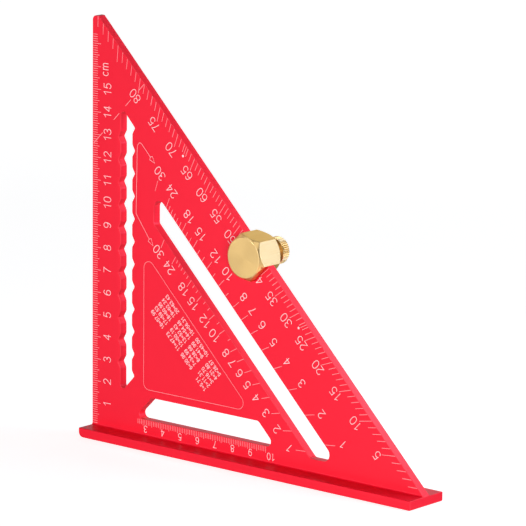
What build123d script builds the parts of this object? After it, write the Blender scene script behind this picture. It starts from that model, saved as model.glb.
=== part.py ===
from build123d import *
from math import floor, sqrt
import os

os.makedirs("parts", exist_ok=True)

# A metric rafter square: a right-angled plate that stands on its fence, extruded as one T-section.
# A slotted brass stop rides on the long edge, and a knurled thumbscrew holds it there.
# X runs along the fence, Y from the scale face to the back of the plate, Z up from the underside of
# the fence. "Along" is counted from the upright edge, and "up" from the top of the fence.

# Plate and fence
leg = 185.6
plate_thickness = 4.0
apex_width = 3.4
apex_radius = 2.0
apex_tip_radius = 0.5
fence_width = 21.8
fence_thickness = 4.2
fence_heel_radius = 2.5
fence_toe_radius = 0.8
fence_edge_radius = 0.4
root_radius = 0.8

# Scribing slot, notched on both sides at half a pitch from each other
scribe_inset = 16.6
scribe_width = 6.6
scribe_first_notch = 25.5
scribe_end_rise = 8.6
scribe_end_radius = 1.5
scribe_wall = 17.5
notch_pitch = 10.0
notch_depth = 1.5
notch_half_width = 2.6
notch_tip_radius = 0.8
notch_shoulder_radius = 2.0

# Diagonal slot, parallel to the long edge
diagonal_wall = 28.35
diagonal_width = 10.5
diagonal_inset = 35.85
diagonal_foot = 6.0
diagonal_acute_radius = 3.2
diagonal_obtuse_radius = 2.0

# Base slot, above the fence
base_foot = 7.2
base_height = 10.2
base_inset = 24.7
base_wall = 12.4
base_radius = 2.2

# Stop
stop_flats = 18.3
stop_face_inset = 0.2
stop_front_jaw = 4.05
stop_rear_jaw = 5.2
stop_seat_depth = 5.0
stop_position = 129.8
slide_clearance = 0.15
seat_clearance = 0.1

# Thumbscrew
screw_diameter = 6.0
screw_clearance = 0.05
screw_lead_in = 0.5
screw_tip_chamfer = 0.6
screw_tip_gap = 0.05
head_diameter = 12.0
head_length = 4.0
head_standoff = 6.05
head_chamfer = 0.4
knurl_count = 42
knurl_depth = 0.35

# The long edge runs at 45 degrees, where along + up is constant
diagonal = sqrt(2)


def on_face(along, up):
    """Return the X and Z of a point of the plate, given from its square corner."""
    return (along - leg / 2, up + fence_thickness)


# Square body: the T-section, cut to the side outline
apex_height = leg - apex_width
side_corners = [
    on_face(0, -fence_thickness),
    on_face(leg, -fence_thickness),
    on_face(leg, 0),
    on_face(leg - apex_height, apex_height),
    on_face(0, apex_height),
]
side_radii = [fence_heel_radius, fence_toe_radius, 0, apex_tip_radius, apex_radius]

# Notched slot: up its far side from the lower end, then down the side next to the upright edge
near_side = scribe_inset
far_side = scribe_inset + scribe_width
notch_room = leg - scribe_wall * diagonal - (far_side + notch_depth) - scribe_first_notch
far_notches = floor(notch_room / notch_pitch) + 1
last_notch = scribe_first_notch + (far_notches - 1) * notch_pitch

scribe_corners = [on_face(near_side, scribe_first_notch - scribe_end_rise)]
scribe_radii = [scribe_end_radius]
for number in range(far_notches):
    up = scribe_first_notch + number * notch_pitch
    if number > 0:
        scribe_corners.append(on_face(far_side, up - notch_half_width))
        scribe_radii.append(notch_shoulder_radius)
    scribe_corners.append(on_face(far_side + notch_depth, up))
    scribe_radii.append(notch_tip_radius)
    if number < far_notches - 1:
        scribe_corners.append(on_face(far_side, up + notch_half_width))
        scribe_radii.append(notch_shoulder_radius)
scribe_corners.append(on_face(near_side, last_notch + scribe_end_rise))
scribe_radii.append(scribe_end_radius)
for number in range(far_notches - 1):
    up = last_notch - (number + 0.5) * notch_pitch
    scribe_corners.append(on_face(near_side, up + notch_half_width))
    scribe_corners.append(on_face(near_side - notch_depth, up))
    scribe_corners.append(on_face(near_side, up - notch_half_width))
    scribe_radii.extend([notch_shoulder_radius, notch_tip_radius, notch_shoulder_radius])

# Diagonal slot between two lines parallel to the long edge
diagonal_upper = leg - diagonal_wall * diagonal
diagonal_lower = diagonal_upper - diagonal_width * diagonal
diagonal_corners = [
    on_face(diagonal_inset, diagonal_lower - diagonal_inset),
    on_face(diagonal_lower - diagonal_foot, diagonal_foot),
    on_face(diagonal_upper - diagonal_foot, diagonal_foot),
    on_face(diagonal_inset, diagonal_upper - diagonal_inset),
]
diagonal_radii = [
    diagonal_obtuse_radius,
    diagonal_obtuse_radius,
    diagonal_acute_radius,
    diagonal_acute_radius,
]

# Base slot, a trapezium with 45 degree ends
base_reach = diagonal_lower - base_wall * diagonal
base_top = base_foot + base_height
base_corners = [
    on_face(base_inset, base_foot),
    on_face(base_reach - base_foot, base_foot),
    on_face(base_reach - base_top, base_top),
    on_face(base_inset + base_height, base_top),
]

with BuildPart() as square_body:
    with BuildSketch(Plane.YZ) as tee:
        with Locations((0, fence_thickness / 2)):
            RectangleRounded(fence_width, fence_thickness, fence_edge_radius)
        with Locations((0, (fence_thickness + apex_height) / 2)):
            Rectangle(plate_thickness, fence_thickness + apex_height)
        roots = tee.vertices().filter_by(
            lambda v: abs(abs(v.X) - plate_thickness / 2) < 1e-6 and abs(v.Y - fence_thickness) < 1e-6
        )
        fillet(roots, root_radius)
    extrude(amount=leg / 2, both=True)
    with BuildSketch(Plane.XZ):
        with BuildLine():
            FilletPolyline(*side_corners, radius=side_radii, close=True)
        make_face()
    extrude(amount=fence_width, both=True, mode=Mode.INTERSECT)
    with BuildSketch(Plane.XZ):
        with BuildLine():
            FilletPolyline(*scribe_corners, radius=scribe_radii, close=True)
        make_face()
        with BuildLine():
            FilletPolyline(*diagonal_corners, radius=diagonal_radii, close=True)
        make_face()
        with BuildLine():
            FilletPolyline(*base_corners, radius=base_radius, close=True)
        make_face()
    extrude(amount=plate_thickness, both=True, mode=Mode.SUBTRACT)

square_body.part.label = "square_body"
export_step(square_body.part, "parts/square_body.step")

# The stop's own plane stands on its axis, halfway through the plate: its X points down the long edge,
# its Y into the plate and its Z to the back
stop_along = leg - stop_position / diagonal - stop_seat_depth / diagonal
stop_up = stop_position / diagonal - stop_seat_depth / diagonal
stop_x, stop_z = on_face(stop_along, stop_up)
stop_plane = Plane(origin=(stop_x, 0, stop_z), x_dir=(1, 0, -1), z_dir=(0, 1, 0))

slot_half = plate_thickness / 2 + slide_clearance
stop_front = -slot_half - stop_front_jaw
stop_back = slot_half + stop_rear_jaw
stop_length = stop_back - stop_front
stop_corner_radius = stop_flats / sqrt(3)
stop_face_radius = stop_flats / 2 - stop_face_inset
slot_reach = stop_seat_depth + seat_clearance + stop_corner_radius
hole_radius = screw_diameter / 2 + screw_clearance


def turned_ends(face_radius, start, length):
    """Return the corners of half a bar's section whose ends are turned at 45 degrees from both sides."""
    middle = length / 2
    return [
        (0, start),
        (face_radius, start),
        (face_radius + middle, start + middle),
        (face_radius, start + length),
        (0, start + length),
    ]


# Half sections lie across the stop's axis: their X is the radius and their Y runs to the back
section_plane = Plane(origin=stop_plane.origin, x_dir=stop_plane.x_dir, z_dir=-stop_plane.y_dir)
stop_axis = Axis(stop_plane.origin, stop_plane.z_dir)

with BuildPart() as stop_block:
    with BuildSketch(stop_plane.offset(stop_front)):
        RegularPolygon(stop_flats / 2, 6, major_radius=False, rotation=30)
    extrude(amount=stop_length)
    with BuildSketch(section_plane):
        with BuildLine():
            Polyline(*turned_ends(stop_face_radius, stop_front, stop_length), close=True)
        make_face()
    revolve(axis=stop_axis, mode=Mode.INTERSECT)
    with BuildSketch(stop_plane.offset(-slot_half)):
        with Locations((0, slot_reach / 2 - stop_seat_depth - seat_clearance)):
            Rectangle(2 * stop_flats, slot_reach)
    extrude(amount=2 * slot_half, mode=Mode.SUBTRACT)
    with BuildSketch(stop_plane):
        Circle(hole_radius)
    extrude(amount=stop_back, mode=Mode.SUBTRACT)
    mouth = stop_block.edges().filter_by(GeomType.CIRCLE).filter_by(
        lambda e: abs(e.radius - hole_radius) < 1e-6
    )
    chamfer(mouth.sort_by(Axis.Y)[-1], screw_lead_in)

stop_block.part.label = "stop_block"
export_step(stop_block.part, "parts/stop_block.step")

screw_tip = plate_thickness / 2 + screw_tip_gap
head_front = stop_back + head_standoff
head_radius = head_diameter / 2

with BuildPart() as thumbscrew:
    with BuildSketch(stop_plane.offset(head_front)):
        Circle(head_radius)
        with PolarLocations(head_radius, knurl_count):
            Rectangle(knurl_depth * diagonal, knurl_depth * diagonal, rotation=45, mode=Mode.SUBTRACT)
    extrude(amount=head_length)
    with BuildSketch(section_plane):
        with BuildLine():
            Polyline(*turned_ends(head_radius - head_chamfer, head_front, head_length), close=True)
        make_face()
    revolve(axis=stop_axis, mode=Mode.INTERSECT)
    with BuildSketch(stop_plane.offset(screw_tip)):
        Circle(screw_diameter / 2)
    extrude(amount=head_front - screw_tip)
    chamfer(thumbscrew.edges().sort_by(Axis.Y)[0], screw_tip_chamfer)

thumbscrew.part.label = "thumbscrew"
export_step(thumbscrew.part, "parts/thumbscrew.step")
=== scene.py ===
import logging
import math
from dataclasses import dataclass, field
from enum import Enum

import bmesh
import bpy
from bmesh.types import BMesh
from bpy.types import ID, Material, Mesh, Node, NodeSocket, NodeTree, Object
from mathutils import Matrix, Vector


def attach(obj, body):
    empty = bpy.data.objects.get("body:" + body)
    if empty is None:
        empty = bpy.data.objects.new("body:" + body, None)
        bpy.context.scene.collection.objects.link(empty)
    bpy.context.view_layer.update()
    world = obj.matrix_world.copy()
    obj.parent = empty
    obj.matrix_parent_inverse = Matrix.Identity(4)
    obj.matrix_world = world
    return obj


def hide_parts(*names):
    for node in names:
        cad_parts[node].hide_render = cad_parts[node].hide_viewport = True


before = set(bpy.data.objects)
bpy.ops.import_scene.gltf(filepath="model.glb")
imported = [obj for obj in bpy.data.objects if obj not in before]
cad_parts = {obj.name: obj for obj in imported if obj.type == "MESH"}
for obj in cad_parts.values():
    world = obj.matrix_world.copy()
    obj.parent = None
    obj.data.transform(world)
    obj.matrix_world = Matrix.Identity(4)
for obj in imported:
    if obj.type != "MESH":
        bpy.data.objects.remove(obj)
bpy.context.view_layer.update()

LOG = logging.getLogger("rafter_square")
BRASS = ("hexagon_stop", "knurled_screw")
ROOT_TWO = math.sqrt(2.0)

# A millimetre in metres, and a centimetre in millimetres
MM = 0.001
CM = 10.0

# X and Z of the axis that the stop and its screw share, in millimetres
STOP_AXIS = (-2.518, 92.447)

Pair = tuple[float, float]
Triple = tuple[float, float, float]
Colour = tuple[float, float, float, float]
Point = tuple[float, float]
Path = list[Point]
Sides = tuple[Vector, Vector]
Spoke = tuple[float, float, float]
Ring = tuple[float, list[Spoke]]
Inputs = dict[str | int, object]


class TextTurn(Enum):
    """How far a row of figures is turned on the scale face, in degrees."""

    UPWARD = 90.0
    LONG_EDGE = 135.0
    UPSIDE_DOWN = 180.0


class StrokeEnd(Enum):
    """How a stroke of the scales ends."""

    SQUARE = "square"
    ROUND = "round"


class Etch(Enum):
    """How deep a stroke of the scales is etched. The values give the order of a mesh's materials."""

    FULL = 0
    FINE = 1


class Body(Enum):
    """The moving bodies of the square."""

    SQUARE = "square"
    STOP = "stop"
    THUMBSCREW = "thumbscrew"


# Helpers


def add_object(name: str, data: ID) -> Object:
    """Put a new object into the scene.

    Args:
        name: Name of the object.
        data: Its mesh, lamp or camera.

    Returns:
        The new object.
    """
    added = bpy.data.objects.new(name, data)
    bpy.context.scene.collection.objects.link(added)
    return added


class NodeGraph:
    """A tree of shader nodes, with short calls that add nodes and join them."""

    MEASURES = ("DISTANCE", "DOT_PRODUCT", "LENGTH")
    COLOUR_A, COLOUR_B, COLOUR_RESULT = 6, 7, 2

    def __init__(self, tree: NodeTree) -> None:
        """Empty the tree."""
        self.nodes, self.links = tree.nodes, tree.links
        self.nodes.clear()

    def add(self, kind: str, inputs: Inputs | None = None, **settings: object) -> Node:
        """Add a node.

        Args:
            kind: Blender's name of the node type.
            inputs: What its inputs are fed, as in feed.
            settings: Properties to set on the new node.

        Returns:
            The new node.
        """
        node = self.nodes.new(kind)
        for name, value in settings.items():
            setattr(node, name, value)
        self.feed(node, inputs or {})
        return node

    def feed(self, node: Node, inputs: Inputs) -> None:
        """Give a node's inputs their constants and links.

        Args:
            node: Node to feed.
            inputs: A constant or another node's output for each input, by its name or number.
        """
        for name, value in inputs.items():
            if isinstance(value, NodeSocket):
                self.links.new(value, node.inputs[name])
            else:
                node.inputs[name].default_value = value

    def maths(self, operation: str, first: object, second: object = 0.0) -> NodeSocket:
        """Return the result of a math node."""
        return self.add("ShaderNodeMath", {0: first, 1: second}, operation=operation).outputs[0]

    def weighted(self, first: object, share: float, second: object, other_share: float) -> NodeSocket:
        """Return the sum of two values, each times its own share."""
        parts = [self.maths("MULTIPLY", *pair) for pair in ((first, share), (second, other_share))]
        return self.maths("ADD", *parts)

    def vectors(self, operation: str, first: object, second: object = (0.0, 0.0, 0.0)) -> NodeSocket:
        """Add a vector math node.

        Args:
            operation: Blender's name of the operation.
            first: First vector or socket.
            second: Second vector or socket, or the factor of a scaling.

        Returns:
            The result's socket: a number for a measure, or else a vector.
        """
        other = "Scale" if operation == "SCALE" else 1
        node = self.add("ShaderNodeVectorMath", {0: first, other: second}, operation=operation)
        return node.outputs["Value" if operation in self.MEASURES else "Vector"]

    def spread(
        self, value: object, low: object, high: object, start: float = 0.0, end: float = 1.0,
    ) -> NodeSocket:
        """Map a value that runs from start to end onto the range from low to high."""
        limits = {"From Min": start, "From Max": end, "To Min": low, "To Max": high}
        return self.add("ShaderNodeMapRange", {"Value": value, **limits}).outputs["Result"]

    def noise(self, place: object, scale: float, detail: float = 2.0) -> NodeSocket:
        """Return noise at a place, with the given cells per metre and octaves."""
        inputs = {"Vector": place, "Scale": scale, "Detail": detail}
        return self.add("ShaderNodeTexNoise", inputs).outputs["Fac"]

    def blend(self, factor: object, first: object, second: object) -> NodeSocket:
        """Return a mix of two colours, with the factor as the share of the second."""
        inputs = {0: factor, self.COLOUR_A: first, self.COLOUR_B: second}
        return self.add("ShaderNodeMix", inputs, data_type="RGBA").outputs[self.COLOUR_RESULT]

    def stretched(self, place: object, scale: Triple) -> NodeSocket:
        """Return a position scaled by a factor along each axis."""
        return self.add("ShaderNodeMapping", {"Vector": place, "Scale": scale}).outputs["Vector"]


class SurfaceGraph(NodeGraph):
    """Nodes of one material round its surface shader."""

    def __init__(self, name: str) -> None:
        """Start a material with a surface shader and an output.

        Args:
            name: Name of the material.
        """
        self.material = bpy.data.materials.new(name)
        self.material.use_nodes = True
        super().__init__(self.material.node_tree)
        self.surface = self.add("ShaderNodeBsdfPrincipled")
        self.output = self.add("ShaderNodeOutputMaterial", {"Surface": self.surface.outputs["BSDF"]})

    def place(self) -> NodeSocket:
        """Return the position on the piece, in metres."""
        return self.add("ShaderNodeTexCoord").outputs["Object"]

    def mask(self, name: str) -> NodeSocket:
        """Return a mask that the mesh carries, such as the one that is 1 on eased edges."""
        return self.add("ShaderNodeAttribute", attribute_name=name).outputs["Fac"]

    def bump(self, height: NodeSocket, strength: float, depth: float) -> NodeSocket:
        """Return a normal that is roughened by a height of 0 to 1, as deep as given in metres."""
        inputs = {"Height": height, "Strength": strength, "Distance": depth}
        return self.add("ShaderNodeBump", inputs).outputs["Normal"]


# Finishes


@dataclass(frozen=True)
class AnodisedFinish:
    """Satin red anodising on blasted aluminium."""

    name: str = "red_anodised_satin"
    slot: str = "red_anodised"
    red: Colour = (0.93, 0.0080, 0.030, 1.0)
    deep_red: Colour = (0.86, 0.0060, 0.023, 1.0)
    # pale red of the eased edges: edge wear and a painted edge highlight
    rubbed_red: Colour = (1.0, 0.075, 0.10, 1.0)
    gloss_tint: Colour = (1.0, 0.70, 0.92, 1.0)
    metallic: float = 0.10
    gloss: float = 0.28
    roughness: Pair = (0.28, 0.42)
    cloud_scale: float = 22.0
    cloud_share: float = 0.7
    drawn_scale: Triple = (6.0, 700.0, 700.0)
    drawn_share: float = 0.35
    blast_scale: float = 2600.0
    rub_scale: float = 160.0
    grain_level: float = 0.74
    bump_strength: float = 0.25
    bump_depth: float = 0.02 * MM

    def material(self) -> Material:
        """Make the material.

        Returns:
            The finished material.
        """
        graph = SurfaceGraph(self.name)
        place = graph.place()
        cloud = graph.noise(place, self.cloud_scale, detail=3.0)
        body = graph.blend(graph.spread(cloud, 0.0, self.cloud_share), self.red, self.deep_red)
        # eased edges lightened in patches: edge wear and a painted edge highlight
        patches = graph.noise(place, self.rub_scale, detail=4.0)
        rub_and_highlight = graph.maths("MULTIPLY", graph.mask(EasedSolid.MASK), patches)
        drawn = graph.noise(graph.stretched(place, self.drawn_scale), 1.0)
        blast = graph.noise(place, self.blast_scale)
        grain = graph.maths("ADD", graph.maths("MULTIPLY", drawn, self.drawn_share), blast)
        level = graph.maths("MULTIPLY", grain, self.grain_level)
        graph.feed(graph.surface, {
            "Base Color": graph.blend(rub_and_highlight, body, self.rubbed_red),
            "Roughness": graph.spread(level, *self.roughness),
            "Normal": graph.bump(grain, self.bump_strength, self.bump_depth),
            "Metallic": self.metallic,
            "Specular IOR Level": self.gloss,
            "Specular Tint": self.gloss_tint,
        })
        return graph.material


@dataclass(frozen=True)
class EtchedFinish:
    """Pale etched strokes, slightly uneven where the red shows through."""

    name: str
    pale: Colour
    thin: Colour
    slot: str = "red_anodised"
    roughness: Pair = (0.42, 0.58)
    patch_scale: float = 900.0
    thin_share: float = 0.8
    bump_strength: float = 0.3
    bump_depth: float = 0.01 * MM

    def material(self) -> Material:
        """Make the material.

        Returns:
            The finished material.
        """
        graph = SurfaceGraph(self.name)
        patches = graph.noise(graph.place(), self.patch_scale, detail=3.0)
        graph.feed(graph.surface, {
            "Base Color": graph.blend(graph.spread(patches, 0.0, self.thin_share), self.pale, self.thin),
            "Roughness": graph.spread(patches, *self.roughness),
            "Normal": graph.bump(patches, self.bump_strength, self.bump_depth),
        })
        return graph.material


@dataclass(frozen=True)
class BrassFinish:
    """Turned and drawn brass: rings round its axis on the ends, fine lines along its sides."""

    name: str
    slot: str = "brass"
    brass: Colour = (0.76, 0.53, 0.225, 1.0)
    deep_brass: Colour = (0.67, 0.43, 0.153, 1.0)
    # pale brass of the eased edges: rubbed brass and a painted edge highlight
    rubbed_brass: Colour = (0.90, 0.72, 0.42, 1.0)
    # painted shade colour that knurl grooves, thread roots and the neck darken towards
    tarnish: Colour = (0.34, 0.15, 0.03, 1.0)
    edge_tint: Colour = (0.97, 0.80, 0.50, 1.0)
    roughness: Pair = (0.24, 0.40)
    anisotropy: float = 0.16
    cloud_scale: float = 120.0
    cloud_share: float = 0.55
    grain_share: float = 0.35
    tone_drop: float = 0.15
    rub_share: float = 0.6
    stain_share: float = 0.6
    ring_scales: Pair = (1400.0, 5200.0)
    drawn_scale: Triple = (2600.0, 120.0, 2600.0)
    end_facing: float = 0.6
    bump_strength: float = 0.3
    bump_depth: float = 0.015 * MM

    def material(self) -> Material:
        """Make the material.

        Returns:
            The finished material.
        """
        graph = SurfaceGraph(self.name)
        place = graph.place()
        grain = self._grain(graph, place)
        cloud = graph.noise(place, self.cloud_scale, detail=3.0)
        tone = graph.weighted(cloud, self.cloud_share, grain, self.grain_share)
        body = graph.blend(graph.maths("SUBTRACT", tone, self.tone_drop), self.brass, self.deep_brass)
        # eased edges lightened: rubbed brass and a painted edge highlight
        rub_and_highlight = graph.maths("MULTIPLY", graph.mask(EasedSolid.MASK), self.rub_share)
        bright = graph.blend(rub_and_highlight, body, self.rubbed_brass)
        # painted shade: knurl grooves, thread roots and the neck darkened by the screw's groove mask
        groove_darkening = graph.maths("MULTIPLY", graph.mask(Thumbscrew.TARNISH), self.stain_share)
        tangent = graph.add("ShaderNodeTangent", direction_type="RADIAL", axis="Y")
        graph.feed(graph.surface, {
            "Base Color": graph.blend(groove_darkening, bright, self.tarnish),
            "Roughness": graph.spread(grain, *self.roughness),
            "Normal": graph.bump(grain, self.bump_strength, self.bump_depth),
            "Tangent": tangent.outputs["Tangent"],
            "Metallic": 1.0,
            "Anisotropic": self.anisotropy,
            "Specular Tint": self.edge_tint,
        })
        return graph.material

    def _grain(self, graph: SurfaceGraph, place: NodeSocket) -> NodeSocket:
        """Return the tool marks: rings on faces across the axis, drawn lines on the others.

        Args:
            graph: Material that the nodes go into.
            place: Socket with the position.

        Returns:
            The socket with a height of 0 to 1.
        """
        offset = graph.vectors("SUBTRACT", place, (STOP_AXIS[0] * MM, 0.0, STOP_AXIS[1] * MM))
        radius = graph.vectors("LENGTH", graph.stretched(offset, (1.0, 0.0, 1.0)))
        ring = graph.add("ShaderNodeCombineXYZ", {"X": radius}).outputs["Vector"]
        coarse, fine = [graph.noise(ring, scale, detail=1.0) for scale in self.ring_scales]
        rings = graph.weighted(coarse, 0.5, fine, 0.5)
        drawn = graph.noise(graph.stretched(place, self.drawn_scale), 1.0)
        normal = graph.add("ShaderNodeNewGeometry").outputs["True Normal"]
        facing = graph.add("ShaderNodeSeparateXYZ", {0: normal}).outputs["Y"]
        on_end = graph.maths("GREATER_THAN", graph.maths("ABSOLUTE", facing), self.end_facing)
        return graph.spread(on_end, drawn, rings)


# Meshes


@dataclass
class EasedSolid:
    """Copy of a CAD node whose sharp edges are broken by a small round."""

    node: str
    piece: str
    body: Body
    ease: float = 0.15 * MM
    weld: float = 0.002 * MM
    flat_below: float = math.radians(0.3)
    sharp_above: float = math.radians(32.0)
    smooth_below: float = math.radians(40.0)
    segments: int = 2
    MASK = "eased_edge"

    def build(self) -> Object:
        """Make the piece and put it in the CAD node's place.

        Returns:
            The new object, riding on its body.
        """
        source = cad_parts[self.node].data
        work = bmesh.new()
        work.from_mesh(source)
        mask = work.faces.layers.float.new(self.MASK)
        bmesh.ops.remove_doubles(work, verts=work.verts, dist=self.weld)
        bmesh.ops.dissolve_limit(work, angle_limit=self.flat_below, verts=work.verts, edges=work.edges)
        self.shape(work)
        edges = [e for e in work.edges if e.calc_face_angle(0.0) > self.sharp_above]
        rounds = bmesh.ops.bevel(
            work, geom=edges, offset=self.ease, offset_type="OFFSET", segments=self.segments,
            profile=0.5, affect="EDGES", clamp_overlap=False,
        )
        for face in rounds["faces"]:
            face[mask] = 1.0
        self._keep_inside(work, source)
        bmesh.ops.triangulate(work, faces=[f for f in work.faces if len(f.verts) > 4])
        mesh = bpy.data.meshes.new(self.piece)
        work.to_mesh(mesh)
        work.free()
        mesh.shade_smooth()
        mesh.set_sharp_from_angle(angle=self.smooth_below)
        piece = add_object(self.piece, mesh)
        piece.modifiers.new("flat_faces", "WEIGHTED_NORMAL").keep_sharp = True
        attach(piece, self.body.value)
        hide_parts(self.node)
        return piece

    def shape(self, work: BMesh) -> None:
        """Change the copy before its edges are broken. A plain copy stays as it is."""

    def _keep_inside(self, work: BMesh, source: Mesh) -> None:
        """Pull vertices that a round pushed outwards back into the source's box.

        Args:
            work: Mesh with the rounds.
            source: The CAD node's mesh.
        """
        places = list(zip(*(vert.co for vert in source.vertices)))
        low, high = [min(values) for values in places], [max(values) for values in places]
        for vert in work.verts:
            vert.co = [min(max(c, a), b) for c, a, b in zip(vert.co, low, high)]


class StrokeFont:
    """Plain single-stroke figures. A figure's strokes lie in a box of 1 by 1 units."""

    STEPS = 14
    NOUGHT_POWER = 0.86

    def __init__(self) -> None:
        """Draw every figure once."""
        six = [
            self._arc((0.5, 0.31), (0.5, 0.31), 0.0, 360.0),
            self._arc((0.55, 0.40), (0.55, 0.60), 180.0, 52.0),
        ]
        seven = [(1.0, 1.0)] + self._bend((1.0, 1.0), (0.46, 0.55), (0.32, 0.0))
        arch = self._arc((0.42, 0.43), (0.38, 0.25), 180.0, 0.0)
        self.figures: dict[str, list[Path]] = {
            "0": [self._nought()],
            "1": [[(0.14, 0.76), (0.40, 0.86), (0.60, 1.0), (0.60, 0.0)]],
            "2": [self._arc((0.5, 0.72), (0.46, 0.28), 168.0, -32.0) + [(0.02, 0.0), (1.0, 0.0)]],
            "3": [
                self._arc((0.46, 0.755), (0.42, 0.245), 158.0, -90.0),
                self._arc((0.46, 0.265), (0.52, 0.265), 90.0, -158.0),
            ],
            "4": [[(0.74, 0.0), (0.74, 1.0)], [(0.74, 1.0), (0.0, 0.29)], [(0.0, 0.29), (1.0, 0.29)]],
            "5": [
                [(0.92, 1.0), (0.20, 1.0), (0.09, 0.49)],
                self._arc((0.48, 0.33), (0.50, 0.33), 145.0, -155.0),
            ],
            "6": six,
            "7": [[(0.0, 1.0), (1.0, 1.0)], seven],
            "8": [
                self._arc((0.5, 0.755), (0.43, 0.245), 0.0, 360.0),
                self._arc((0.5, 0.265), (0.50, 0.265), 0.0, 360.0),
            ],
            "9": [[(1.0 - x, 1.0 - y) for x, y in path] for path in six],
            "=": [[(0.0, 0.34), (1.0, 0.34)], [(0.0, 0.62), (1.0, 0.62)]],
            ".": [[(0.48, 0.0), (0.52, 0.0)]],
            "c": [self._arc((0.5, 0.34), (0.5, 0.34), 48.0, 312.0)],
            "m": [
                [(0.04, 0.0), (0.04, 0.68)],
                arch + [(0.80, 0.0)],
                [(x + 0.76, y) for x, y in arch] + [(1.56, 0.0)],
            ],
        }
        self.widths = {".": 0.42, "m": 1.56}

    def width(self, figure: str) -> float:
        """Return a figure's width in units of a digit's width."""
        return self.widths.get(figure, 1.0)

    def _arc(self, centre: Point, radii: Point, start: float, end: float) -> Path:
        """Return points on part of an ellipse, from one angle to another in degrees."""
        turns = [math.radians(start + (end - start) * i / self.STEPS) for i in range(self.STEPS + 1)]
        return [(centre[0] + radii[0] * math.cos(a), centre[1] + radii[1] * math.sin(a)) for a in turns]

    def _bend(self, start: Point, pull: Point, end: Point) -> Path:
        """Return a curve's points after its start.

        Args:
            start: Where it starts.
            pull: Point that the curve is pulled towards.
            end: Where it ends.

        Returns:
            The points, half as many as on an arc.
        """
        path = []
        for i in range(1, self.STEPS // 2 + 1):
            t = 2.0 * i / self.STEPS
            a, b, c = (1.0 - t) ** 2, 2.0 * t * (1.0 - t), t * t
            path.append((a * start[0] + b * pull[0] + c * end[0], a * start[1] + b * pull[1] + c * end[1]))
        return path

    def _nought(self) -> Path:
        """Return the outline of a nought, a little squarer than an ellipse.

        Returns:
            The points, the first repeated at the end.
        """
        path = []
        for i in range(2 * self.STEPS + 1):
            angle = math.pi * i / self.STEPS
            spoke = (math.cos(angle), math.sin(angle))
            path.append(tuple(0.5 + 0.5 * math.copysign(abs(c) ** self.NOUGHT_POWER, c) for c in spoke))
        return path


@dataclass(frozen=True)
class TextStyle:
    """Sizes of a row of figures, in millimetres."""

    cap: float
    digit: float
    gap: float
    stroke: float


@dataclass
class ScaleFace:
    """The plate's front face. Points on it are millimetres along and up from its square corner."""

    leg: float = 185.6
    fence_thickness: float = 4.2
    plate_thickness: float = 4.0
    proud: float = 0.014
    layer: float = 0.003
    sunk: float = 0.03

    def place(self, point: Point | Vector, lift: float) -> Vector:
        """Return a face point in the object's frame.

        Args:
            point: Millimetres along and up.
            lift: Millimetres in front of the face.

        Returns:
            The position in metres.
        """
        along, up = point
        return Vector((
            (along - self.leg / 2.0) * MM,
            (-self.plate_thickness / 2.0 - lift) * MM,
            (up + self.fence_thickness) * MM,
        ))


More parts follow.
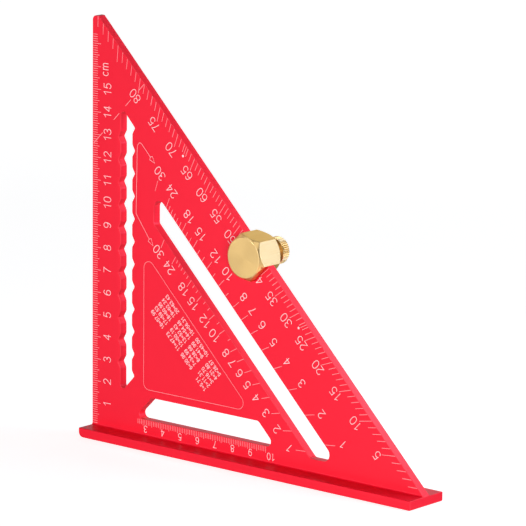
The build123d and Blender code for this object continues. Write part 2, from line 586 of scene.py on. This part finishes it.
@dataclass
class EtchedSheet:
    """Strokes of one scale, gathered into one mesh that lies on the scale face."""

    name: str
    face: ScaleFace
    font: StrokeFont
    verts: list[Vector] = field(default_factory=list)
    faces: list[tuple[int, ...]] = field(default_factory=list)
    etches: list[int] = field(default_factory=list)
    strokes: int = 0
    CAP_STEPS = 4
    CAP_SHARE = 0.97
    DOT_SIDES = 20
    LAYERS = 4
    SHARPEST = 0.5
    SAME = 1e-6

    def line(self, start: Point, end: Point, width: float) -> None:
        """Add a straight fine stroke with square ends."""
        self.stroke([start, end], width, Etch.FINE, StrokeEnd.SQUARE)

    def dot(self, centre: Point, radius: float) -> None:
        """Add a round dot.

        Args:
            centre: Middle of the dot, in millimetres.
            radius: Its radius.
        """
        turns = [2.0 * math.pi * i / self.DOT_SIDES for i in range(self.DOT_SIDES)]
        rim = [(centre[0] + radius * math.cos(a), centre[1] + radius * math.sin(a)) for a in turns]
        self._prism(rim)
        self._etch(Etch.FULL)

    def stroke(
        self, path: Path, width: float, etch: Etch = Etch.FULL, end: StrokeEnd = StrokeEnd.ROUND,
    ) -> None:
        """Add a stroke of even width along a path.

        Args:
            path: Points of its middle line, in millimetres. It is a ring if the ends meet.
            width: Width of the stroke.
            etch: How deep it is etched.
            end: Shape of its two ends.
        """
        closed = len(path) > 3 and math.dist(path[0], path[-1]) < self.SAME
        points = [Vector(p) for p in (path[:-1] if closed else path)]
        sides = [self._offset(points, i, width / 2.0, closed) for i in range(len(points))]
        if end is StrokeEnd.ROUND and not closed:
            sides = self._cap(points[0] - points[1], sides[0])[::-1] + sides
            sides += self._cap(points[-1] - points[-2], sides[-1])
        self._ribbon(sides, closed)
        self._etch(etch)

    def text(self, row: str, centre: Point, style: TextStyle, turn: TextTurn, lead: bool = False) -> None:
        """Add a row of figures.

        Args:
            row: The figures.
            centre: Middle of the row, or its start if lead is true, in millimetres.
            style: Sizes of the figures.
            turn: How far the row is turned.
            lead: True to start at centre.
        """
        widths = [self.font.width(c) * style.digit for c in row]
        length = sum(widths) + style.gap * (len(row) - 1)
        cos, sin = math.cos(math.radians(turn.value)), math.sin(math.radians(turn.value))
        pen = 0.0 if lead else -length / 2.0
        for figure, width in zip(row, widths):
            for path in self.font.figures[figure]:
                laid = []
                for x, y in path:
                    right = pen + style.stroke / 2.0 + x * (style.digit - style.stroke)
                    if figure == ".":
                        right = pen + width * x
                    up = style.stroke / 2.0 + y * (style.cap - style.stroke) - style.cap / 2.0
                    laid.append((centre[0] + right * cos - up * sin, centre[1] + right * sin + up * cos))
                self.stroke(laid, style.stroke)
            pen += width + style.gap

    def build(self, slot: str, materials: dict[Etch, Material]) -> Object:
        """Make the mesh and set it on the square.

        Args:
            slot: Name of a material slot; not used.
            materials: Material of each depth.

        Returns:
            The new object, riding on the square.
        """
        mesh = bpy.data.meshes.new(self.name)
        mesh.from_pydata(self.verts, [], self.faces)
        used = sorted(set(self.etches))
        for etch in used:
            mesh.materials.append(materials[Etch(etch)])
        mesh.polygons.foreach_set("material_index", [used.index(etch) for etch in self.etches])
        piece = add_object(self.name, mesh)
        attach(piece, Body.SQUARE.value)
        return piece

    def _etch(self, etch: Etch) -> None:
        """Note the depth of the faces that were added last."""
        self.etches += [etch.value] * (len(self.faces) - len(self.etches))

    def _offset(self, points: list[Vector], i: int, half: float, closed: bool) -> Sides:
        """Return the two sides of a stroke at one of its points.

        Args:
            points: The stroke's middle line.
            i: Number of the point.
            half: Half the stroke's width.
            closed: True if the stroke is a ring.

        Returns:
            The left and the right side.
        """
        last = len(points) - 1
        before = points[i] - points[i - 1] if i > 0 or closed else None
        after = points[(i + 1) % (last + 1)] - points[i] if i < last or closed else None
        steps = [s.normalized() for s in (before, after) if s is not None]
        along = sum(steps, Vector((0.0, 0.0))).normalized()
        normal = Vector((-along.y, along.x))
        reach = half / max(self.SHARPEST, along.dot(steps[0]))
        return points[i] + normal * reach, points[i] - normal * reach

    def _cap(self, outward: Vector, end: Sides) -> list[Sides]:
        """Return the sides of a stroke's round end.

        Args:
            outward: Where the end points.
            end: The stroke's own sides there.

        Returns:
            The sides, outwards from the end.
        """
        middle, half = (end[0] + end[1]) / 2.0, (end[0] - end[1]) / 2.0
        forward = outward.normalized() * half.length
        rows = []
        for i in range(1, self.CAP_STEPS + 1):
            angle = 0.5 * math.pi * i / self.CAP_STEPS * self.CAP_SHARE
            centre, spread = middle + forward * math.sin(angle), half * math.cos(angle)
            rows.append((centre + spread, centre - spread))
        return rows

    def _lift(self) -> float:
        """Return the next stroke's height, so that strokes that cross don't share a plane."""
        self.strokes += 1
        return self.face.proud + self.face.layer * (self.strokes % self.LAYERS)

    def _ribbon(self, sides: list[Sides], closed: bool) -> None:
        """Add a closed flat band.

        Args:
            sides: Its left and right side, point by point.
            closed: True if it is a ring.
        """
        base, count = len(self.verts), len(sides)
        lift = self._lift()
        for point in (p for pair in sides for p in pair):
            self.verts += [self.face.place(point, height) for height in (lift, -self.face.sunk)]
        for i in range(count if closed else count - 1):
            a, b = base + 4 * i, base + 4 * ((i + 1) % count)
            self.faces += [
                (a, a + 2, b + 2, b), (a + 1, b + 1, b + 3, a + 3),
                (a, b, b + 1, a + 1), (a + 2, a + 3, b + 3, b + 2),
            ]
        if not closed:
            a, b = base, base + 4 * (count - 1)
            self.faces += [(a, a + 1, a + 3, a + 2), (b, b + 2, b + 3, b + 1)]

    def _prism(self, rim: Path) -> None:
        """Add a flat solid with the given rim.

        Args:
            rim: Its corners, counter-clockwise.
        """
        base, count = len(self.verts), len(rim)
        for lift in (self._lift(), -self.face.sunk):
            self.verts += [self.face.place(p, lift) for p in rim]
        self.faces.append(tuple(base + i for i in range(count)))
        self.faces.append(tuple(base + count + i for i in reversed(range(count))))
        for i in range(count):
            j = (i + 1) % count
            self.faces.append((base + j, base + i, base + count + i, base + count + j))


# Sub-assemblies


@dataclass(frozen=True)
class CutScale:
    """A scale of rises over one run. Its ticks lie on rays from the square corner.

    The start, the ends and the label are sums of along and up, in millimetres. The numbers drift to the
    left of their rays and above them, and single ones are nudged to the right and upwards.
    """

    name: str
    run: float
    start: float
    long_end: float
    short_end: float
    label: float
    drift: float = 0.0
    nudges: dict[int, Point] = field(default_factory=dict)


@dataclass
class SquareBody:
    """The red plate and fence with all its scales. Sizes are millimetres on the scale face."""

    face: ScaleFace = field(default_factory=ScaleFace)
    font: StrokeFont = field(default_factory=StrokeFont)
    finish: AnodisedFinish = field(default_factory=AnodisedFinish)
    full_etch: EtchedFinish = EtchedFinish("etched_figures", (1.0, 0.74, 0.78, 1.0), (0.99, 0.50, 0.55, 1.0))
    fine_etch: EtchedFinish = EtchedFinish("etched_lines", (1.0, 0.44, 0.48, 1.0), (0.98, 0.30, 0.35, 1.0))
    edge_text: TextStyle = TextStyle(cap=4.35, digit=2.45, gap=0.42, stroke=0.29)
    unit_text: TextStyle = TextStyle(cap=4.6, digit=2.05, gap=0.48, stroke=0.29)
    degree_text: TextStyle = TextStyle(cap=4.35, digit=2.62, gap=0.62, stroke=0.275)
    cut_text: TextStyle = TextStyle(cap=4.2, digit=2.6, gap=0.6, stroke=0.30)
    base_text: TextStyle = TextStyle(cap=3.2, digit=1.95, gap=0.45, stroke=0.26)
    table_text: TextStyle = TextStyle(cap=1.98, digit=1.10, gap=0.21, stroke=0.25)
    tick: float = 0.185
    base_tick: float = 0.175
    frame_line: float = 0.15
    pointer: float = 0.22
    dot: float = 0.54
    table_run: float = 10.0
    cut_numbers: tuple[int, ...] = (1, 2, 3, 4, 5, 6, 7, 8, 10, 12, 15, 18, 24, 30)
    cut_ticks: int = 24
    common: CutScale = CutScale(
        "common_scale", run=10.0, start=145.8, long_end=152.0, short_end=149.1, label=156.6,
        nudges={
            1: (0.0, 0.8), 3: (-1.0, 1.6), 4: (-0.5, 0.95), 5: (-0.55, 0.9), 6: (-0.5, 0.85),
            7: (-0.1, 0.6), 8: (0.0, 0.6), 10: (-0.35, 0.55),
        },
    )
    hip: CutScale = CutScale(
        "hip_scale", run=math.sqrt(200.0), start=130.5, long_end=125.0, short_end=128.2, label=121.5,
        drift=0.4,
    )

    def build(self) -> list[Object]:
        """Make the body and its scales.

        Returns:
            All the pieces.
        """
        body = EasedSolid("square_body", "plate_and_fence", Body.SQUARE).build()
        body.data.materials.append(self.finish.material())
        etches = {Etch.FULL: self.full_etch.material(), Etch.FINE: self.fine_etch.material()}
        sheets = [
            self.edge_scale(), self.degree_scale(), self.cut_scale(self.common), self.cut_scale(self.hip),
            self.base_scale(), self.angle_table(), self.table_frame(), self.pointer_line(),
            self.mitre_line(),
        ]
        return [body] + [sheet.build(self.full_etch.slot, etches) for sheet in sheets]

    def sheet(self, name: str) -> EtchedSheet:
        """Start an empty scale."""
        return EtchedSheet(name, self.face, self.font)

    def on_ray(self, degrees: float, total: float) -> Point:
        """Return where a ray from the square corner meets the line along + up = total."""
        cos, sin = math.cos(math.radians(degrees)), math.sin(math.radians(degrees))
        return (total * cos / (cos + sin), total * sin / (cos + sin))

    def edge_scale(self) -> EtchedSheet:
        """Return the millimetre scale on the upright edge.

        Returns:
            The scale.
        """
        sheet = self.sheet("edge_scale")
        ticks, numbers = range(1, 175), range(1, 16)
        start, ends, short_end = 0.25, {0: 4.9, 5: 4.0}, 3.05
        for up in ticks:
            sheet.line((start, up), (ends.get(up % 10, short_end), up), self.tick)
        along, above, unit_place = 8.75, 0.6, (7.0, 159.2)
        for number in numbers:
            sheet.text(str(number), (along, CM * number + above), self.edge_text, TextTurn.UPWARD)
        sheet.text("cm", unit_place, self.unit_text, TextTurn.UPWARD)
        return sheet

    def degree_scale(self) -> EtchedSheet:
        """Return the degree scale along the long edge, with dots at two more angles.

        Returns:
            The scale.
        """
        sheet = self.sheet("degree_scale")
        ticks, numbers = range(1, 90), range(5, 81, 5)
        outer, long_end, short_end, label = self.face.leg - 0.3, 177.45, 180.35, 174.2
        dots = {67.5: (52.3, 126.7), 27.5: (117.5, 61.4)}
        for degrees in [float(tick) for tick in ticks] + list(dots):
            inner = long_end if degrees % 5 == 0 else short_end
            sheet.line(self.on_ray(degrees, outer), self.on_ray(degrees, inner), self.tick)
        for centre in dots.values():
            sheet.dot(centre, self.dot)
        # The numbers stand off their rays along the edge, the one with a single digit further up
        shift, stretch, single_digit_shift = -0.4, 0.018, -0.6
        for degrees in numbers:
            along, up = self.on_ray(degrees, label)
            drift = (shift + stretch * (along - up) / ROOT_TWO) / ROOT_TWO
            if degrees < 10:
                drift += single_digit_shift
            sheet.text(str(degrees), (along + drift, up - drift), self.degree_text, TextTurn.LONG_EDGE)
        return sheet

    def cut_scale(self, scale: CutScale) -> EtchedSheet:
        """Return a rafter scale beside the diagonal slot.

        Args:
            scale: Its run and where its ticks and numbers are.

        Returns:
            The scale.
        """
        sheet = self.sheet(scale.name)
        for rise in sorted(set(range(1, self.cut_ticks + 1)) | set(self.cut_numbers)):
            degrees = math.degrees(math.atan2(rise, scale.run))
            end = scale.long_end if rise in self.cut_numbers else scale.short_end
            sheet.line(self.on_ray(degrees, scale.start), self.on_ray(degrees, end), self.tick)
            if rise in self.cut_numbers:
                along, up = self.on_ray(degrees, scale.label)
                right, above = scale.nudges.get(rise, (0.0, 0.0))
                centre = (along - scale.drift + right, up + scale.drift + above)
                sheet.text(str(rise), centre, self.cut_text, TextTurn.LONG_EDGE)
        return sheet

    def base_scale(self) -> EtchedSheet:
        """Return the millimetre scale under the base slot.

        Returns:
            The scale.
        """
        sheet = self.sheet("base_scale")
        ticks, numbers = range(27, 101), range(3, 11)
        top, long_end, short_end, label = 6.95, 4.3, 4.8, 2.9
        for along in ticks:
            sheet.line((along, top), (along, short_end if along % 5 else long_end), self.base_tick)
        shift, two_digit_shift = 1.4, 3.0
        for number in numbers:
            along = CM * number + (two_digit_shift if number > 9 else shift)
            sheet.text(str(number), (along, label), self.base_text, TextTurn.UPSIDE_DOWN)
        return sheet

    def angle_table(self) -> EtchedSheet:
        """Return the table of rises and their angles, in blocks of rows.

        Returns:
            The table.
        """
        sheet = self.sheet("angle_table")
        blocks = [(65.8, 25.9), (57.95, 34.2), (50.6, 41.3), (41.7, 49.7)]
        rows, row_step = 5, (2.08, 1.98)
        digit_step = (self.table_text.digit + self.table_text.gap) / ROOT_TWO
        for block, (along, up) in enumerate(blocks):
            for row in range(rows):
                rise = rows * block + row + 1
                text = f"{rise}={math.degrees(math.atan2(rise, self.table_run)):.2f}"
                # Ten has one digit more than the rest of its block, so its row starts further back
                back = digit_step if rise == 10 else 0.0
                start = (along + row_step[0] * row + back, up + row_step[1] * row - back)
                sheet.text(text, start, self.table_text, TextTurn.LONG_EDGE, lead=True)
        return sheet

    def table_frame(self) -> EtchedSheet:
        """Return the rounded triangle round the table.

        Returns:
            The frame.
        """
        sheet = self.sheet("table_frame")
        left, foot, total, radius = 30.2, 20.8, 112.3, 3.0
        corners = [(left, foot), (total - foot, foot), (left, total - left)]
        sheet.stroke(self._rounded(corners, radius), self.frame_line, Etch.FINE)
        return sheet

    def _rounded(self, corners: Path, radius: float, steps: int = 8) -> Path:
        """Return a closed outline with rounded corners.

        Args:
            corners: Its corners in order, counter-clockwise.
            radius: Radius of each corner.
            steps: Steps round each corner.

        Returns:
            The points, the first repeated at the end.
        """
        path: Path = []
        for i, corner in enumerate(corners):
            here = Vector(corner)
            back = (Vector(corners[i - 1]) - here).normalized()
            ahead = (Vector(corners[(i + 1) % len(corners)]) - here).normalized()
            half = back.angle(ahead) / 2.0
            centre = here + (back + ahead).normalized() * radius / math.sin(half)
            first = here + back * radius / math.tan(half) - centre
            turn = math.pi - 2.0 * half
            for step in range(steps + 1):
                spoke = Matrix.Rotation(turn * step / steps, 2) @ first
                path.append(tuple(centre + spoke))
        return path + path[:1]

    def pointer_line(self) -> EtchedSheet:
        """Return the line that points to the two rafter scales.

        Returns:
            The line with its two heads.
        """
        sheet = self.sheet("pointer_line")
        upper, lower = (33.7, 123.9), (33.2, 87.9)
        line = [
            upper, (28.8, 128.9), (28.0, 129.4), (27.2, 129.3), (26.4, 128.4), (26.1, 127.0),
            (25.95, 118.0), (25.7, 106.0), (25.55, 98.0), lower,
        ]
        darts = [self._dart((36.2, 121.5), upper), self._dart((35.35, 85.2), lower)]
        for path in (line, *darts):
            sheet.stroke(path, self.pointer, Etch.FINE)
        return sheet

    def _dart(self, tip: Point, tail: Point, spread: float = 0.32, notch: float = 0.14) -> Path:
        """Return the outline of a pointer's hollow head.

        Args:
            tip: Its tip.
            tail: Where the line meets it.
            spread: Half its width, as a share of its length.
            notch: How far its barbs lie in front of its tail, as a share of its length.

        Returns:
            The points, the first repeated at the end.
        """
        end, start = Vector(tip), Vector(tail)
        along = end - start
        side = Vector((-along.y, along.x)) * spread
        neck = start + along * notch
        return [tuple(p) for p in (end, neck + side, start, neck - side, end)]

    def mitre_line(self) -> EtchedSheet:
        """Return the dashed line at 45 degrees near the top.

        Returns:
            The line.
        """
        sheet = self.sheet("mitre_line")
        foot = 125.3
        for start, end in ((0.7, 5.9), (12.4, 15.6), (19.3, 22.3), (26.5, 29.9)):
            sheet.line((start, start + foot), (end, end + foot), self.pointer)
        return sheet


@dataclass
class TurnedStop(EasedSolid):
    """Copy of the stop whose front corners are turned off deeper."""

    face_depth: float = -6.2 * MM
    face_radius: float = 8.95 * MM
    deeper: float = 0.28 * MM
    slack: float = 0.02 * MM

    def shape(self, work: BMesh) -> None:
        """Shift the 45 degree cone on the front: its rim inwards, and its arcs on the flats back.

        Args:
            work: The copy.
        """
        middle = Vector((STOP_AXIS[0] * MM, 0.0, STOP_AXIS[1] * MM))
        for vert in work.verts:
            spoke = Vector((vert.co.x, 0.0, vert.co.z)) - middle
            rise = vert.co.y - self.face_depth
            if abs(spoke.length - self.face_radius - rise) > self.slack:
                continue
            if rise < self.slack:
                vert.co -= spoke.normalized() * self.deeper
            else:
                vert.co.y += self.deeper


@dataclass
class StopBlock:
    """The brass stop on the long edge."""

    ease: float = 0.05 * MM
    finish: BrassFinish = BrassFinish("stop_brass")

    def build(self) -> list[Object]:
        """Make the stop.

        Returns:
            Its piece.
        """
        piece = TurnedStop("stop_block", "hexagon_stop", Body.STOP, ease=self.ease).build()
        piece.data.materials.append(self.finish.material())
        return [piece]


@dataclass
class Thumbscrew:
    """The brass thumbscrew: a knurled head on a threaded shank. Sizes are in millimetres."""

    tip: float = 2.05
    tip_chamfer: float = 0.6
    head_front: float = 13.4
    head_back: float = 17.4
    head_radius: float = 6.0
    head_chamfer: float = 0.4
    head_steps: tuple[float, ...] = (0.0, 0.05, 0.2)
    knurls: int = 42
    knurl_depth: float = 0.35
    shank_radius: float = 3.0
    shank_sides: int = 48
    shank_in_head: float = 0.3
    pitch: float = 1.0
    steps_per_turn: int = 10
    thread_depth: float = 0.5
    thread_slope: float = 1.35
    thread_crest: float = 0.18
    neck: float = 1.0
    smooth_below: float = math.radians(28.0)
    # paler and brighter brass than the stop's: partly the screw's own paler colour, partly painted light
    # that brightens the head
    finish: BrassFinish = BrassFinish(
        "screw_brass_brightened", brass=(0.96, 0.74, 0.38, 1.0), deep_brass=(0.88, 0.63, 0.27, 1.0),
    )
    # name of the vertex mask of painted shade: 1 in knurl grooves, thread roots and on the neck
    TARNISH = "tarnish"

    def build(self) -> list[Object]:
        """Make the screw and put it in the CAD node's place.

        Returns:
            Its piece.
        """
        work = bmesh.new()
        work.verts.layers.float.new(self.TARNISH)
        for rings in (self._head(), self._shank()):
            self._skin(work, rings)
        bmesh.ops.recalc_face_normals(work, faces=work.faces)
        mesh = bpy.data.meshes.new("knurled_screw")
        work.to_mesh(mesh)
        work.free()
        mesh.shade_smooth()
        mesh.set_sharp_from_angle(angle=self.smooth_below)
        mesh.materials.append(self.finish.material())
        piece = add_object("knurled_screw", mesh)
        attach(piece, Body.THUMBSCREW.value)
        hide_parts("thumbscrew")
        return [piece]

    def _skin(self, work: BMesh, rings: list[Ring]) -> None:
        """Join rings of equal count into a closed skin with flat ends.

        Args:
            work: Mesh that it goes into.
            rings: Where each lies along the axis, and the angle, radius and painted groove shade of its
                vertices.
        """
        layer = work.verts.layers.float[self.TARNISH]
        skin = []
        for depth, spokes in rings:
            skin.append([])
            for angle, radius, tarnish in spokes:
                along, up = STOP_AXIS[0] + radius * math.sin(angle), STOP_AXIS[1] + radius * math.cos(angle)
                vert = work.verts.new((along * MM, depth * MM, up * MM))
                vert[layer] = tarnish
                skin[-1].append(vert)
        for low, high in zip(skin, skin[1:]):
            for i in range(len(low)):
                j = (i + 1) % len(low)
                work.faces.new((low[i], low[j], high[j], high[i]))
        work.faces.new(skin[0])
        work.faces.new(skin[-1])

    def _head(self) -> list[Ring]:
        """Shape the knurled head.

        Returns:
            Its rings from front to back.
        """
        pitch, depth = 2.0 * math.pi * self.head_radius / self.knurls, self.knurl_depth
        outline = []
        for tooth in range(self.knurls):
            for offset in (-depth, -depth / 2, 0.0, depth / 2, depth, pitch / 2.0):
                angle = (tooth * pitch + offset) / self.head_radius
                cut = max(0.0, depth - abs(offset))
                outline.append((angle, self.head_radius - cut, cut / depth))
        face, length = self.head_radius - self.head_chamfer, self.head_back - self.head_front
        steps = [*self.head_steps, self.head_chamfer]
        rings = []
        for step in steps + [length - step for step in reversed(steps)]:
            limit = face + min(step, length - step)
            spokes = [(angle, min(radius, limit), tarnish) for angle, radius, tarnish in outline]
            rings.append((self.head_front + step, spokes))
        return rings

    def _shank(self) -> list[Ring]:
        """Shape the shank with its right-hand thread.

        Returns:
            Its rings from the tip to the head.
        """
        core = self.shank_radius - self.thread_depth
        turns = [2.0 * math.pi * side / self.shank_sides for side in range(self.shank_sides)]
        rings = []
        for step in range(int((self.head_front - self.tip) / self.pitch * self.steps_per_turn) + 1):
            depth = self.tip + step * self.pitch / self.steps_per_turn
            spokes = []
            for side, angle in enumerate(turns):
                phase = (depth / self.pitch - side / self.shank_sides) % 1.0
                groove = self.thread_slope * (2.0 * abs(phase - 0.5)) - self.thread_crest
                radius = self.shank_radius - self.thread_depth * min(1.0, max(0.0, groove))
                if depth > self.head_front - self.neck:
                    radius = core
                radius = min(radius, self.shank_radius - self.tip_chamfer + depth - self.tip)
                spokes.append((angle, radius, (self.shank_radius - radius) / self.thread_depth))
            rings.append((depth, spokes))
        last = [(angle, core, 1.0) for angle in turns]
        return rings + [(self.head_front + self.shank_in_head, last)]


# Studio


@dataclass(frozen=True)
class Softbox:
    """A rectangular lamp: where it stands, its size in metres and how bright its face is.

    It aims at the object's middle unless told otherwise, and lights only the named pieces or skips them.
    """

    name: str
    place: Triple
    width: float
    height: float
    radiance: float
    aim: Triple = (0.0, 0.0, 0.09)
    colour: Triple = (1.0, 1.0, 1.0)
    only: tuple[str, ...] = ()
    skips: tuple[str, ...] = ()


@dataclass(frozen=True)
class Pool:
    """A bright patch of the floor that metal mirrors: its middle, where it fades and its light."""

    place: Triple
    reach: Pair
    light: Triple


@dataclass
class Studio:
    """Floor, lights, world and camera. Sizes are in metres."""

    target: Triple = (0.0048, -0.0020, 0.0907)
    eye: Triple = (1.1250, -1.3313, 0.4571)
    roll: float = math.radians(0.529)
    lens: float = 287.83
    sensor: float = 36.0
    floor_size: float = 12.0
    floor_drop: float = 0.0001
    floor_grey: Colour = (0.50, 0.50, 0.50, 1.0)
    floor_roughness: float = 0.9
    floor_glow: Pair = (0.86, 0.97)
    floor_reach: Pair = (0.6, 1.6)
    mirrored_glow: Triple = (0.06, 0.06, 0.06)
    pools: tuple[Pool, ...] = (
        Pool((0.05, -0.60, 0.0), (0.565, 0.63), (0.64, 0.635, 0.64)),
        Pool((0.070, -0.075, 0.0), (0.040, 0.065), (0.62, 0.27, 0.16)),
        Pool((0.20, 0.33, 0.0), (0.25, 0.33), (0.60, 0.60, 0.60)),
    )
    dark_side: Triple = (0.73, -0.67, 0.10)
    dark_reach: Pair = (0.90, 0.98)
    dark_level: float = 0.15
    sky: tuple[Pair, ...] = ((0.0, 1.0), (0.20, 0.95), (0.34, 0.25), (0.52, 0.04))
    lamps: tuple[Softbox, ...] = (
        Softbox("key", (-0.270, -1.271, 0.058), 0.87, 0.1, 31.4, skips=BRASS),
        Softbox("soft_key", (-0.270, -1.271, 0.113), 0.87, 0.2, 12.5, only=BRASS),
        Softbox("front_right", (0.996, -0.835, 0.058), 0.6, 0.1, 46.0, skips=BRASS),
        Softbox("far_fill", (-1.148, -0.610, 0.113), 0.6, 0.2, 1.5),
        Softbox("side", (1.271, -0.270, 0.135), 0.6, 0.2, 4.5, only=BRASS),
        Softbox("low_right", (1.260, 0.314, 0.158), 0.6, 0.2, 5.0, only=BRASS),
        Softbox("right", (1.220, 0.373, 0.338), 0.6, 0.42, 7.0, colour=(0.86, 0.95, 1.12)),
        Softbox("rim", (0.785, 0.658, 0.890), 0.7, 0.5, 2.4, only=BRASS),
        Softbox("right_rim", (0.876, 0.408, 0.960), 0.6, 0.5, 2.4, only=BRASS),
        Softbox("near_rim", (0.124, 0.105, 0.184), 0.14, 0.14, 3.1, (0.03, 0.0, 0.07), skips=BRASS),
        Softbox("low_rim", (0.827, 0.986, 0.271), 0.5, 0.36, 1.35, colour=(0.60, 0.91, 1.95)),
        Softbox("crown", (-0.580, 0.965, 0.740), 0.6, 0.45, 1.05),
        Softbox("back_rim", (-0.139, 0.986, 0.926), 0.4, 0.35, 1.3),
        Softbox("left", (-1.090, -0.038, 0.798), 0.5, 0.45, 1.3, only=BRASS),
        Softbox("overhead", (0.344, -0.852, 1.009), 0.75, 0.75, 1.6, only=BRASS),
        Softbox("canopy", (-0.479, -0.496, 1.192), 0.7, 0.55, 1.7, only=BRASS),
        Softbox("back_card", (0.21, 0.42, 0.37), 0.2, 0.2, 2.4, (0.21, 0.0, 0.37), (0.95, 0.95, 1.12)),
        Softbox("top_card", (0.05, 0.42, 0.36), 0.2, 0.2, 0.4, (0.05, 0.0, 0.36)),
    )

    def build(self) -> None:
        """Set up everything that isn't part of the object."""
        bpy.context.scene.view_settings.view_transform = "Standard"
        self._floor()
        self._world()
        self._camera()
        for lamp in self.lamps:
            self._lamp(lamp)

    def _facing(self, place: Triple, target: Triple) -> Matrix:
        """Return the transform of something that stands at a place and looks at a target."""
        turn = (Vector(target) - Vector(place)).to_track_quat("-Z", "Y")
        return Matrix.Translation(place) @ turn.to_matrix().to_4x4()

    def _lamp(self, lamp: Softbox) -> None:
        """Add a lamp.

        Args:
            lamp: Its place, size and light.
        """
        data = bpy.data.lights.new(lamp.name, "AREA")
        data.shape = "RECTANGLE"
        data.size, data.size_y = lamp.width, lamp.height
        data.energy = lamp.radiance * math.pi * lamp.width * lamp.height
        data.color = lamp.colour
        box = add_object(lamp.name, data)
        box.visible_camera = False
        box.matrix_world = self._facing(lamp.place, lamp.aim)
        if lamp.only or lamp.skips:
            lit = bpy.data.collections.new(lamp.name)
            for name in lamp.only or lamp.skips:
                lit.objects.link(bpy.data.objects[name])
            for linked in lit.collection_objects:
                linked.light_linking.link_state = "INCLUDE" if lamp.only else "EXCLUDE"
            box.light_linking.receiver_collection = lit

    def _floor(self) -> None:
        """Add the pale floor, brightest in front of the object where metal mirrors it."""
        half = self.floor_size / 2.0
        rim = ((-half, -half), (half, -half), (half, half), (-half, half))
        mesh = bpy.data.meshes.new("floor")
        mesh.from_pydata([(x, y, -self.floor_drop) for x, y in rim], [], [(0, 1, 2, 3)])
        floor = add_object("floor", mesh)
        graph = SurfaceGraph("pale_floor")
        graph.feed(graph.surface, {
            "Base Color": self.floor_grey,
            "Roughness": self.floor_roughness,
            "Specular IOR Level": 0.0,
        })
        path = graph.add("ShaderNodeLightPath").outputs
        far = graph.spread(self._away(graph, (0.0, 0.0, 0.0)), *self.floor_glow, *self.floor_reach)
        direct = graph.vectors("SCALE", (1.0, 1.0, 1.0), graph.maths("MULTIPLY", path["Is Camera Ray"], far))
        near = self.mirrored_glow
        for pool in self.pools:
            share = graph.spread(self._away(graph, pool.place), 1.0, 0.0, *pool.reach)
            near = graph.vectors("ADD", near, graph.vectors("SCALE", pool.light, share))
        mirrored = graph.maths("MAXIMUM", path["Is Glossy Ray"], path["Is Transmission Ray"])
        light = graph.vectors("MAXIMUM", direct, graph.vectors("SCALE", near, mirrored))
        glow = graph.add("ShaderNodeEmission", {"Color": light}).outputs["Emission"]
        both = graph.add("ShaderNodeAddShader", {0: graph.surface.outputs["BSDF"], 1: glow})
        graph.feed(graph.output, {"Surface": both.outputs[0]})
        mesh.materials.append(graph.material)

    def _away(self, graph: SurfaceGraph, place: Triple) -> NodeSocket:
        """Return the distance from a place."""
        return graph.vectors("DISTANCE", graph.place(), place)

    def _world(self) -> None:
        """Make the world white to the camera, and pale low down and dim overhead elsewhere."""
        world = bpy.data.worlds.new("studio")
        bpy.context.scene.world = world
        world.use_nodes = True
        graph = NodeGraph(world.node_tree)
        direction = graph.add("ShaderNodeTexCoord").outputs["Generated"]
        height = graph.add("ShaderNodeSeparateXYZ", {0: direction}).outputs["Z"]
        ramp = graph.add("ShaderNodeValToRGB", {"Fac": height})
        stops = ramp.color_ramp.elements
        while len(stops) < len(self.sky):
            stops.new(0.5)
        for stop, (place, level) in zip(stops, self.sky):
            stop.position = place
            stop.color = (level, level, level, 1.0)
        side = graph.vectors("DOT_PRODUCT", direction, self.dark_side)
        shade = graph.spread(side, 1.0, self.dark_level, *self.dark_reach)
        glow = graph.maths("MULTIPLY", ramp.outputs["Color"], shade)
        seen = graph.add("ShaderNodeLightPath").outputs["Is Camera Ray"]
        back = graph.add("ShaderNodeBackground", {"Strength": graph.maths("MAXIMUM", seen, glow)})
        graph.add("ShaderNodeOutputWorld", {"Surface": back.outputs["Background"]})

    def _camera(self) -> None:
        """Add the camera at the photograph's viewing angle."""
        data = bpy.data.cameras.new("camera")
        data.sensor_fit = "HORIZONTAL"
        data.sensor_width = self.sensor
        data.lens = self.lens
        camera = add_object("camera", data)
        camera.matrix_world = self._facing(self.eye, self.target) @ Matrix.Rotation(self.roll, 4, "Z")
        bpy.context.scene.camera = camera


def main() -> None:
    """Build the square, the stop, the screw and the studio, and report each piece."""
    logging.basicConfig(level=logging.INFO, format="%(name)s: %(message)s")
    for assembly in (SquareBody(), StopBlock(), Thumbscrew()):
        for piece in assembly.build():
            LOG.info("%s: %d faces", piece.name, len(piece.data.polygons))
    Studio().build()


if __name__ == "__main__":
    main()
